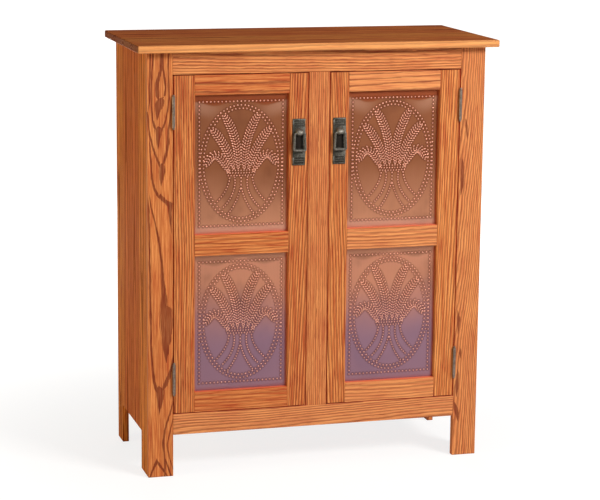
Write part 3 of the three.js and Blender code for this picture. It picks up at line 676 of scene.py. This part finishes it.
def punched_tree():
    """A copper sheet lying in X and Y with its marks standing up in Z: a sheaf of wheat in two ovals of dots
    inside a border of dots."""
    work = Shaping("punched_sheet", ("Width", "Height", "Thickness", *PUNCH))
    add, given = work.add, work.given
    mark = dome_mark(work)
    half_dot = given("Dot") * 0.5
    half_length, half_width = given("Grain Length") * 0.5, given("Grain Width") * 0.5
    marks = []

    def strike(curve, long_size, wide_size, turn=0.0):
        """A mark on each point of a curve, long across the curve's own direction turned by an angle."""
        x, y, _ = add("GeometryNodeInputTangent", None, None).parts()
        heading = work.maths("ARCTAN2", y, x) + turn
        turned_by = add("FunctionNodeEulerToRotation", None, (work.vector(0.0, 0.0, heading),))
        size = work.vector(long_size, wide_size, given("Dot Height"))
        marks.append(add("GeometryNodeInstanceOnPoints", None,
                         {"Points": curve, "Instance": mark, "Rotation": turned_by, "Scale": size}))

    def spaced(curve, share):
        """The curve as points a share of the pitch apart."""
        length = add("GeometryNodeCurveLength", None, (curve,))
        count = work.maths("ROUND", length / (given("Pitch") * share)).most(2.0)
        return add("GeometryNodeResampleCurve", None, {"Curve": curve, "Count": count})

    def bend(points, side, share=LINE_PITCH_SHARE):
        """Points on a curve of the pattern, on the right or mirrored to the left."""
        start, middle, end = [(side * x * MM, y * MM, 0.0) for x, y in points]
        curve = add("GeometryNodeCurveQuadraticBezier", None,
                    {"Resolution": 24, "Start": start, "Middle": middle, "End": end})
        return spaced(curve, share)

    border = add("GeometryNodeCurvePrimitiveQuadrilateral", None,
                 {"Width": BORDER[0] * 2 * MM, "Height": BORDER[1] * 2 * MM})
    strike(spaced(border, 1.0), half_dot, half_dot)
    for wide, high in OVALS:
        ring = add("GeometryNodeCurvePrimitiveCircle", None, {"Resolution": 96, "Radius": MM})
        ring = add("GeometryNodeTransform", None, {"Geometry": ring, "Scale": (wide, high, 1.0)})
        strike(spaced(ring, OVAL_PITCH_SHARE), half_dot, half_dot)
    along = add("GeometryNodeSplineParameter", None, None)
    swell = (1 - ((along - 0.5).size() * 1.8) ** 6.0) * along.step(-0.7, 0.45)
    for side in (1, -1):
        for stalk in STALKS:
            strike(bend(stalk, side), half_dot, half_dot * 0.9)
        for ear in EARS:
            spine = bend(ear, side, EAR_PITCH_SHARE)
            tangent = add("GeometryNodeInputTangent", None, None)
            square = add("ShaderNodeVectorMath", {"operation": "CROSS_PRODUCT"}, ((0.0, 0.0, 1.0), tangent))
            for hand, (reach, lead) in itertools.product((1, -1), EAR_ROWS):
                shove = add("ShaderNodeVectorMath", {"operation": "SCALE"},
                            {0: square, "Scale": given("Half Ear") * swell * (hand * reach)})
                ahead = add("ShaderNodeVectorMath", {"operation": "MULTIPLY_ADD"},
                            (tangent, (lead, lead, lead), shove))
                row = add("GeometryNodeSetPosition", None, {"Geometry": spine, "Offset": ahead})
                strike(row, half_length * (swell * 0.6 + 0.4), half_width, hand * GRAIN_LEAN)
    for tie in TIES:
        strike(bend(tie, 1), half_dot, half_dot * 0.8, TIE_LEAN)
    strike(bend(MIDDLE_STALK, 1), half_dot, half_dot * 0.9)
    struck = add("GeometryNodeRealizeInstances", None, (add("GeometryNodeJoinGeometry", None, (marks,)),))
    work.finish(bowed(work, add("GeometryNodeJoinGeometry", None, ([flat_sheet(work, struck), struck],))))
    return work


def flat_sheet(work, struck):
    """The sheet with its front face at 0. It carries -1 as raised beside a mark, where painted shade goes,
    and 0 away from them.
    """
    add, given = work.add, work.given
    size = work.vector(given("Width"), given("Height"), given("Thickness"))
    sheet = add("GeometryNodeMeshCube", None, (size, *SHEET_CELLS, 2))
    sheet = add("GeometryNodeTransform", None,
                {"Geometry": sheet, "Translation": work.vector(0.0, 0.0, given("Thickness") * -0.5)})
    gap = add("GeometryNodeProximity", {"target_element": "FACES"}, {0: struck}, "Distance")
    return add("GeometryNodeStoreNamedAttribute", {"data_type": "FLOAT", "domain": "POINT"},
               {"Geometry": sheet, "Name": "raised", "Value": gap.step(*MARK_SHADE_SPAN) - 1})


def bowed(work, whole):
    """The whole sheet, a little wavy between its held edges."""
    place = work.add("GeometryNodeInputPosition", None, None)
    x, y, _ = place.parts()
    held_x = (x / (work.given("Width") * 0.5)).size() ** 4.0
    held_y = (y / (work.given("Height") * 0.5)).size() ** 4.0
    ripple = work.add("ShaderNodeTexNoise", None, {"Vector": place, "Scale": 14.0, "Detail": 1.0})
    lift = ((1 - held_x) * (1 - held_y)).unit() * ripple * work.given("Bow")
    return work.add("GeometryNodeSetPosition", None,
                    {"Geometry": whole, "Offset": work.vector(0.0, 0.0, lift)})


# Painted violet reflection, light and dark metal of the painted shading, and the painted shade under the rail
COPPER_TONES = {
    "upper": (0.0, srgb(222, 154, 120), srgb(162, 100, 68), srgb(158, 66, 32)),
    "lower": (0.85, srgb(230, 158, 128), srgb(220, 150, 120), srgb(126, 88, 68)),
}
STAND_UP = Matrix.Rotation(math.radians(90), 4, "X")


def hang_copper():
    tree = punched_tree()
    for hand in ("left", "right"):
        for level in ("upper", "lower"):
            node = f"{hand}_door_{level}_copper"
            low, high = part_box(node)
            metal = copper(f"copper_{hand}_{level}", low, high, *COPPER_TONES[level])
            values = {"Width": high.x - low.x, "Height": high.z - low.z, "Thickness": high.y - low.y, **PUNCH}
            centre = (low + high) / 2
            seat = Matrix.Translation((centre.x, low.y, centre.z)) @ STAND_UP
            sheet = tree.make(f"{hand}_{level}_punched_copper", values, metal, seat)
            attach(sheet, f"{hand}_door")
            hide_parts(node)


# Pulls, hinges and small hardware

def new_piece(name, bm, material, crease=None):
    """A closed mesh as an object, with its faces turned outwards."""
    bmesh.ops.remove_doubles(bm, verts=bm.verts, dist=1e-6)
    bmesh.ops.recalc_face_normals(bm, faces=bm.faces)
    mesh = bpy.data.meshes.new(name)
    bm.to_mesh(mesh)
    bm.free()
    mesh.materials.append(material)
    return show(name, mesh, crease)


def soften(piece, width):
    """Rounds the piece's sharp edges for good."""
    bevel = piece.modifiers.new("ease", "BEVEL")
    bevel.width = width
    bevel.segments = 2
    bevel.limit_method = "ANGLE"
    bevel.angle_limit = math.radians(40)
    bpy.context.view_layer.update()
    ready = piece.evaluated_get(bpy.context.evaluated_depsgraph_get())
    eased = bpy.data.meshes.new_from_object(ready)
    piece.modifiers.clear()
    piece.data = eased


def add_block(bm, low, high):
    """A block from corner to corner."""
    outline = ((low[0], low[2]), (high[0], low[2]), (high[0], high[2]), (low[0], high[2]))
    back, front = [[bm.verts.new((x, y, z)) for x, z in outline] for y in (high[1], low[1])]
    skin(bm, (front, back))


def skin(bm, rings, closed=False):
    """Faces from each ring of points to the next, and over the ends unless the last ring joins the first. A
    ring can be a single point."""
    sides = max(len(ring) for ring in rings)
    for end in () if closed else (rings[-1], rings[0][::-1]):
        if len(end) > 1:
            bm.faces.new(end)
    for lower, upper in zip(rings, (*rings[1:], rings[0]) if closed else rings[1:]):
        for k in range(sides):
            places = ((lower, k), (lower, k + 1), (upper, k + 1), (upper, k))
            corners = [ring[place % len(ring)] for ring, place in places]
            bm.faces.new(list(dict.fromkeys(corners)))


def section(sides, power=2):
    """Points round a section of half size 1: a circle, or squarer with a higher power."""
    points = []
    for k in range(sides):
        across, up = math.cos(2 * math.pi * k / sides), math.sin(2 * math.pi * k / sides)
        reach = (abs(across) ** power + abs(up) ** power) ** (-1 / power)
        points.append((across * reach, up * reach))
    return points


def sweep(bm, path, half_sizes, sides):
    """A bar of squarish section along a path in a plane that faces front. half_sizes gives its half width
    across the path and half depth at each point."""
    rings = []
    ends = [path[0], *path, path[-1]]
    for before, point, after, (wide, deep) in zip(ends, path, ends[2:], half_sizes):
        out = Vector((0, 1, 0)).cross(after - before).normalized()
        rings.append([bm.verts.new(point + out * (wide * across) + Vector((0, deep * up, 0)))
                      for across, up in section(sides, 4)])
    skin(bm, rings)


def turned(bm, profile, base, sides, closed=False):
    """Turns a profile of (radius, height) pairs round an upright axis through the base point. It starts and
    ends at the axis, or closes on itself."""
    axis = Vector((0, 0, 1))
    first = axis.orthogonal().normalized()
    second = axis.cross(first)
    rings = []
    for radius, height in profile:
        middle = Vector(base) + axis * height
        ring = [middle + (first * across + second * up) * radius for across, up in section(sides)]
        rings.append([bm.verts.new(place) for place in (ring if radius else ring[:1])])
    skin(bm, rings, closed)


def pillow(bm, centre, stations, sides, power):
    """A rounded boss standing out to -Y: stations are (how far out, half width, half height, lift)."""
    rings = []
    for out, half_x, half_z, lift in stations:
        rings.append([bm.verts.new(centre + Vector((half_x * across, -out, lift + half_z * up)))
                      for across, up in section(sides, power)])
    skin(bm, rings)


def rounded(points, radius, steps=5):
    """A path through the points with its inner corners turned on arcs."""
    path = [points[0]]
    for before, corner, after in zip(points, points[1:], points[2:]):
        to_before, to_after = (before - corner).normalized(), (after - corner).normalized()
        half = to_before.angle(to_after) / 2
        reach = radius / math.tan(half)
        middle = corner + (to_before + to_after).normalized() * (radius / math.sin(half))
        start = corner + to_before * reach - middle
        end = corner + to_after * reach - middle
        for k in range(steps + 1):
            path.append(middle + start.slerp(end, k / steps).normalized() * radius)
    path.append(points[-1])
    return path


# The pull's plate: its base, what stands on it, and how far that sinks in and stays from the edge
PLATE_BASE = 1.7 * MM
RISE = 0.9 * MM
SUNK = 0.3 * MM
INSET = 0.2 * MM
PLATE_EASE = 0.45 * MM
# The reeded field at each end of the plate, with its rims
SIDE_RIM = 5.0 * MM
END_RIM = 4.5 * MM
FIELD_HEIGHT = 19.0 * MM
REED_HEIGHT = 3.0 * MM
REED_LAP = 1.0 * MM
# The boss: the height of its middle, and in mm how far out, half width, half height and lift
BOSS_HEIGHT = 1006.9 * MM
BOSS = ((0.0, 11.2, 12.0, 1.0), (1.5, 11.2, 11.4, 1.0), (5.0, 11.2, 10.2, 0.6), (9.0, 11.0, 8.4, -0.2),
        (12.5, 10.0, 6.2, -1.2), (14.3, 8.0, 3.8, -2.0), (14.9, 5.0, 1.8, -2.4))
# The bail: how far its pins' ends, shoulders and foot lie from its middle, and the bar's half sizes
PIVOT_HEIGHT = 1003.9 * MM
PIN_END = 7.0 * MM
SHOULDER = 14.9 * MM
FOOT = 17.4 * MM
FOOT_LIFT = 3.4 * MM
BEND = 3.4 * MM
BAR_HALF_WIDTH = 3.2 * MM
BAR_HALF_DEPTH = 2.9 * MM
BAIL_PIN = 2.2 * MM
# The painted shadow on the plate behind the bail
BAIL_SHADE_HALF_WIDTH = 11.5 * MM
BAIL_SHADE_TOP = 999 * MM


def reeded_plate(name, low, high, iron):
    """The plate, with a raised middle and a field with two reeds at each end."""
    front = high.y - PLATE_BASE
    bm = bmesh.new()
    add_block(bm, (low.x, front, low.z), high)

    def raise_pad(left, right, foot, top):
        add_block(bm, (max(left, low.x + INSET), front - RISE, max(foot, low.z + INSET)),
                  (min(right, high.x - INSET), front + SUNK, min(top, high.z - INSET)))

    raise_pad(low.x, high.x, low.z + END_RIM + FIELD_HEIGHT, high.z - END_RIM - FIELD_HEIGHT)
    for edge, way in ((low.z, 1), (high.z, -1)):
        outer, inner = edge + way * END_RIM, edge + way * (END_RIM + FIELD_HEIGHT)
        raise_pad(low.x, high.x, *sorted((edge, outer)))
        raise_pad(low.x, low.x + SIDE_RIM, *sorted((outer, inner)))
        raise_pad(high.x - SIDE_RIM, high.x, *sorted((outer, inner)))
        for share in (1 / 3, 2 / 3):
            middle = outer + (inner - outer) * share
            raise_pad(low.x + SIDE_RIM - REED_LAP, high.x - SIDE_RIM + REED_LAP,
                      middle - REED_HEIGHT / 2, middle + REED_HEIGHT / 2)
    piece = new_piece(name, bm, iron)
    soften(piece, PLATE_EASE)
    return piece


def make_pull(hand, plate_iron, bail_iron, boss_iron):
    """A pull: the reeded plate, the domed boss, and the bail that hangs from it."""
    low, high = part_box(f"{hand}_pull_plate")
    centre_x = (low.x + high.x) / 2
    plate_piece = reeded_plate(f"{hand}_pull_back_plate", low, high, plate_iron)

    boss = bmesh.new()
    pillow(boss, Vector((centre_x, high.y - PLATE_BASE - RISE + SUNK, BOSS_HEIGHT)),
           [[size * MM for size in station] for station in BOSS], sides=32, power=2.4)
    boss_piece = new_piece(f"{hand}_pull_boss", boss, boss_iron)

    bail_low, bail_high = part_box(f"{hand}_pull_bail")
    pivot_y = (bail_low.y + bail_high.y) / 2
    half = ((PIN_END, PIVOT_HEIGHT), (SHOULDER, PIVOT_HEIGHT), (FOOT, bail_low.z + FOOT_LIFT))
    corners = [(-x, z) for x, z in half] + [(x, z) for x, z in reversed(half)]
    path = rounded([Vector((centre_x + x, pivot_y, z)) for x, z in corners], BEND)
    sizes = []
    for i in range(len(path)):
        from_end = min(i, len(path) - 1 - i)
        wide = BAIL_PIN + (BAR_HALF_WIDTH - BAIL_PIN) * min(1.0, from_end / 3)
        sizes.append((wide, min(BAR_HALF_DEPTH, wide * 0.95)))
    bar = bmesh.new()
    sweep(bar, path, sizes, sides=16)
    bail_piece = new_piece(f"{hand}_pull_bail_ring", bar, bail_iron)
    for piece in (plate_piece, boss_piece):
        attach(piece, f"{hand}_door")
        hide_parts(f"{hand}_pull_plate")
    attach(bail_piece, f"{hand}_bail")
    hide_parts(f"{hand}_pull_bail")


# The sharpest angles, in degrees, that still look round
CREASE = 35
PIN_CREASE = 50
NAIL_CREASE = 80
SCREW = {"Radius": 2.9 * MM, "Depth": 0.9 * MM, "Slot": 0.8 * MM}
NAIL = {"Pitch": 98 * MM, "Radius": 2.6 * MM, "Rise": 0.7 * MM}
NAIL_INSET = 11 * MM
# How far a screw's face stands out of its plate
PROUD = 0.08 * MM
FACING = {"+X": Matrix.Rotation(math.radians(90), 4, "Y"), "-X": Matrix.Rotation(math.radians(-90), 4, "Y"),
          "+Y": Matrix.Rotation(math.radians(-90), 4, "X")}


def screw_tree():
    """A row of cross-slotted screw heads along X, facing up Z, with their faces at 0."""
    work = Shaping("screw_row", ("Count", "Pitch", *SCREW))
    add, given = work.add, work.given
    radius, depth, slot, pitch = given("Radius"), given("Depth"), given("Slot"), given("Pitch")
    head = add("GeometryNodeMeshCylinder", None, {"Vertices": 16, "Radius": radius, "Depth": depth}, "Mesh")
    arms = []
    for size in ((radius * 1.3, slot), (slot, radius * 1.3)):
        arm = add("GeometryNodeMeshCube", None, {"Size": work.vector(*size, depth)})
        arms.append(add("GeometryNodeTransform", None,
                        {"Geometry": arm, "Translation": work.vector(0.0, 0.0, depth * 0.55)}))
    head = add("GeometryNodeMeshBoolean", {"operation": "DIFFERENCE"}, {"Mesh 1": head, "Mesh 2": arms})
    first = work.vector(pitch * (given("Count") - 1) * -0.5, 0.0, depth * -0.5)
    row = add("GeometryNodeMeshLine", None,
              {"Count": given("Count"), "Start Location": first, "Offset": work.vector(pitch, 0.0, 0.0)})
    work.finish(add("GeometryNodeInstanceOnPoints", None, {"Points": row, "Instance": head}))
    return work


def nail_tree():
    """Domed nail heads round a rectangle in X and Y, standing up Z."""
    work = Shaping("nail_ring", ("Width", "Height", *NAIL))
    add, given = work.add, work.given
    line = add("GeometryNodeCurvePrimitiveQuadrilateral", None,
               {"Width": given("Width"), "Height": given("Height")})
    count = (given("Width") + given("Height")) * 2 / given("Pitch")
    row = add("GeometryNodeResampleCurve", None, {"Curve": line, "Count": count})
    head = add("GeometryNodeMeshUVSphere", None, (10, 6, 1.0))
    size = work.vector(given("Radius"), given("Radius"), given("Rise"))
    work.finish(add("GeometryNodeInstanceOnPoints", None, {"Points": row, "Instance": head, "Scale": size}))
    return work


def drive_screws(name, tree, metal, where, facing, count, pitch, body):
    """A row of screws whose faces stand just proud of the point where they are driven."""
    values = {"Count": count, "Pitch": pitch, **SCREW}
    screws = tree.make(name, values, metal, Matrix.Translation(where) @ FACING[facing], CREASE)
    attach(screws, body)


def nail_back(metal):
    low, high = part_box("back_panel")
    values = {"Width": high.x - low.x - 2 * NAIL_INSET, "Height": high.z - low.z - 2 * NAIL_INSET, **NAIL}
    seat = Matrix.Translation(((low.x + high.x) / 2, high.y, (low.z + high.z) / 2)) @ FACING["+Y"]
    nails = nail_tree().make("back_panel_nails", values, metal, seat, NAIL_CREASE)
    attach(nails, "cabinet")


# Hinges: the radii of barrel and pin, the leaf's thickness and its distance from the middle
BARREL = 4.6 * MM
PIN = 2.2 * MM
LEAF = 1.05 * MM
LEAF_GAP = 0.15 * MM
# How far the web from a knuckle laps its leaf
WEB_LAP = 2 * MM
KNUCKLES = 5
KNUCKLE_GAP = 0.3 * MM
EASE = 0.35 * MM
# The pin's turned tip: the ball, and the collar and neck under it
TIP = 3.5 * MM
COLLAR = 2.8 * MM
NECK = 2.17 * MM
COLLAR_HEIGHT = 0.8 * MM
NECK_HEIGHT = 1.2 * MM
# A leaf's three screws are spaced by this share of its length
SCREW_SHARE = 0.32
STRIKE_SCREW_PITCH = 25 * MM


def make_hinge(hand, level, brass, screws):
    """A butt hinge: two leaves with rolled knuckles, and a pin with a turned ball at each end."""
    side = -1 if hand == "left" else 1
    stem = f"{hand}_{level}_hinge"
    low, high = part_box(f"{stem}_frame_leaf")
    axis_x = (low.x + high.x) / 2
    axis_y = low.y + BARREL
    length = high.z - low.z
    pitch = (length + KNUCKLE_GAP) / KNUCKLES
    tall = pitch - KNUCKLE_GAP
    barrel = ((PIN, 0.0), (BARREL - EASE, 0.0), (BARREL, EASE), (BARREL, tall - EASE),
              (BARREL - EASE, tall), (PIN, tall))
    for leaf, first in (("frame", 0), ("door", 1)):
        way = side if leaf == "frame" else -side
        left, right = sorted((axis_x + way * LEAF_GAP, axis_x + way * (LEAF_GAP + LEAF)))
        bm = bmesh.new()
        add_block(bm, (left, axis_y + BARREL + KNUCKLE_GAP, low.z), (right, high.y, high.z))
        for number in range(first, KNUCKLES, 2):
            foot = low.z + number * pitch
            turned(bm, barrel, (axis_x, axis_y, foot), sides=32, closed=True)
            add_block(bm, (left, axis_y + PIN + KNUCKLE_GAP, foot + EASE),
                      (right, axis_y + BARREL + WEB_LAP, foot + tall - EASE))
        piece = new_piece(f"{stem}_{leaf}_plate", bm, brass, CREASE)
        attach(piece, "cabinet" if leaf == "frame" else f"{hand}_door")
        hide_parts(f"{stem}_{leaf}_leaf")
        leaf_middle = Vector((axis_x + way * (LEAF_GAP - PROUD), (axis_y + BARREL + high.y) / 2,
                              (low.z + high.z) / 2))
        drive_screws(f"{stem}_{leaf}_screws", screws, brass, leaf_middle, "-X" if way > 0 else "+X", 3,
                     length * SCREW_SHARE, "cabinet" if leaf == "frame" else f"{hand}_door")
    pin_low, pin_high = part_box(f"{stem}_pin")
    half = (pin_high.z - pin_low.z) / 2
    seat = length / 2 + KNUCKLE_GAP
    neck_top = seat + NECK_HEIGHT
    upper = [(PIN * 0.97, seat), (COLLAR, seat), (COLLAR, seat + COLLAR_HEIGHT), (NECK, neck_top)]
    for k in range(1, 8):
        turn = math.pi * k / 8
        upper.append((TIP * math.sin(turn) ** 0.7, neck_top + (half - neck_top) / 2 * (1 - math.cos(turn))))
    upper.append((0.0, half))
    bm = bmesh.new()
    turned(bm, [(radius, -height) for radius, height in reversed(upper)] + upper,
           (axis_x, axis_y, (pin_low.z + pin_high.z) / 2), sides=28)
    pin = new_piece(f"{stem}_ball_pin", bm, brass, PIN_CREASE)
    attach(pin, "cabinet")
    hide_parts(f"{stem}_pin")


def dress_hardware():
    plate_low, plate_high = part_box("right_pull_plate")
    bail_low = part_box("right_pull_bail")[0].z
    darkening = (plate_high.y - PLATE_BASE - RISE / 2, BAIL_SHADE_HALF_WIDTH, (plate_low.x + plate_high.x) / 2,
            bail_low + 5 * MM, BAIL_SHADE_TOP)
    # The plate's iron, and lighter copies of it: one for the bail, and one for the boss that carries a
    # painted highlight
    iron = (dark_iron("dark_iron", srgb(60, 58, 52), srgb(110, 106, 98), 0.4, darkening),
            dark_iron("dark_iron_lighter", srgb(80, 76, 70), srgb(138, 132, 124), 0.2),
            dark_iron("dark_iron_painted_highlight", srgb(92, 88, 80), srgb(168, 162, 152), 0.5))
    brass = aged_brass("aged_brass")
    screws = screw_tree()
    for hand in ("left", "right"):
        make_pull(hand, *iron)
        for level in ("upper", "lower"):
            make_hinge(hand, level, brass, screws)
    bright = steel("steel")
    for hand in ("left", "right"):
        low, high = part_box(f"{hand}_strike_plate")
        where = Vector(((low.x + high.x) / 2, high.y + PROUD, (low.z + high.z) / 2))
        drive_screws(f"{hand}_strike_screws", screws, bright, where, "+Y", 2, STRIKE_SCREW_PITCH,
                     f"{hand}_door")
    nail_back(bright)
    finishes = {"shelf_pin": bright, "strike": bright, "catch": brown_plastic("brown_plastic")}
    for node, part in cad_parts.items():
        for word, finish in finishes.items():
            if word in node:
                part.data.materials.clear()
                part.data.materials.append(finish)


# The studio

HALF_FLOOR = 30.0
# The floor's glow to the camera grows over these distances from its middle, from the first to the last
GLOW_SPAN = (0.5, 2.2)
GLOWS = (1.2, 1.65)
MIDDLE = Vector((0.0, 0.0, 0.6))
# Lights: name, place, width, height, watts and colour. Each aims at the middle.
LIGHTS = (
    ("key", (2.7, -4.2, 3.5), 2.0, 1.3, 270.0, (1.0, 1.0, 0.98)),
    ("fill", (-5.0, -1.2, 1.3), 2.4, 1.6, 80.0, (1.0, 0.85, 0.47)),
    ("back", (0.6, 4.6, 0.8), 2.4, 0.8, 90.0, (1.0, 0.99, 0.97)),
)


def floor_white(name):
    """Matt white paper that photographs as pure white, with only a soft contact shadow."""
    paper = Finish(name)
    matt = paper.add("ShaderNodeBsdfDiffuse", None, {"Color": srgb(229, 229, 229)})
    reach = paper.add("ShaderNodeVectorMath", {"operation": "LENGTH"}, (paper.place,), "Value")
    near, far = [paper.add("ShaderNodeEmission", None, {"Strength": strength}) for strength in GLOWS]
    glow = paper.add("ShaderNodeMixShader", None, (reach.step(*GLOW_SPAN), near, far))
    seen = paper.add("ShaderNodeLightPath", None, None, "Is Camera Ray")
    mixed = paper.add("ShaderNodeMixShader", None, (seen * 0.66, matt, glow))
    paper.add("ShaderNodeOutputMaterial", None, {"Surface": mixed}, None)
    return paper.material


def set_floor():
    corners = [(x * HALF_FLOOR, y * HALF_FLOOR, 0.0) for x, y in ((-1, -1), (1, -1), (1, 1), (-1, 1))]
    mesh = bpy.data.meshes.new("studio_floor")
    mesh.from_pydata(corners, [], [(0, 1, 2, 3)])
    mesh.materials.append(floor_white("floor_white"))
    floor = show("studio_floor", mesh)


def set_light(name, where, width, height, power, colour):
    lamp = bpy.data.lights.new(name, "AREA")
    lamp.shape = "RECTANGLE"
    lamp.size = width
    lamp.size_y = height
    lamp.energy = power
    lamp.color = colour
    light = bpy.data.objects.new(name, lamp)
    light.location = where
    light.visible_camera = False
    light.rotation_euler = (MIDDLE - Vector(where)).to_track_quat("-Z", "Y").to_euler()
    bpy.context.scene.collection.objects.link(light)


def set_sky(scene):
    """White where the camera sees it. For the rest a dim sky, lighter overhead and darker behind."""
    world = bpy.data.worlds.new("studio")
    world.use_nodes = True
    scene.world = world
    sky = Bench(world.node_tree)
    _, back, climb = sky.add("ShaderNodeTexCoord", None, None, "Generated").parts()
    dusk = (0.15 + climb.step(0.4, 0.9) * 0.27) * (1 - back.step(-0.1, 0.5) * 0.6)
    lit = sky.add("ShaderNodeBackground", None, {"Color": (1.0, 0.99, 0.97, 1.0), "Strength": dusk})
    seen = sky.add("ShaderNodeBackground", None, {"Color": (1.0, 1.0, 1.0, 1.0), "Strength": 1.0})
    ray = sky.add("ShaderNodeLightPath", None, None, "Is Camera Ray")
    mixed = sky.add("ShaderNodeMixShader", None, (ray, lit, seen))
    sky.add("ShaderNodeOutputWorld", None, {"Surface": mixed}, None)


def set_camera(scene):
    camera_data = bpy.data.cameras.new("camera")
    camera_data.lens = LENS
    camera_data.sensor_width = SENSOR
    camera = bpy.data.objects.new("camera", camera_data)
    upright = Matrix.Rotation(math.radians(90) + PITCH, 4, "X")
    camera.matrix_world = (Matrix.Translation(EYE) @ Matrix.Rotation(HEADING, 4, "Z") @ upright
                           @ Matrix.Rotation(ROLL, 4, "Z"))
    scene.collection.objects.link(camera)
    scene.camera = camera


def set_studio():
    scene = bpy.context.scene
    set_sky(scene)
    for light in LIGHTS:
        set_light(*light)
    scene.view_settings.view_transform = "Standard"
    scene.view_settings.look = "None"
    set_camera(scene)


set_studio()
set_floor()
dress_boards()
hang_copper()
dress_hardware()
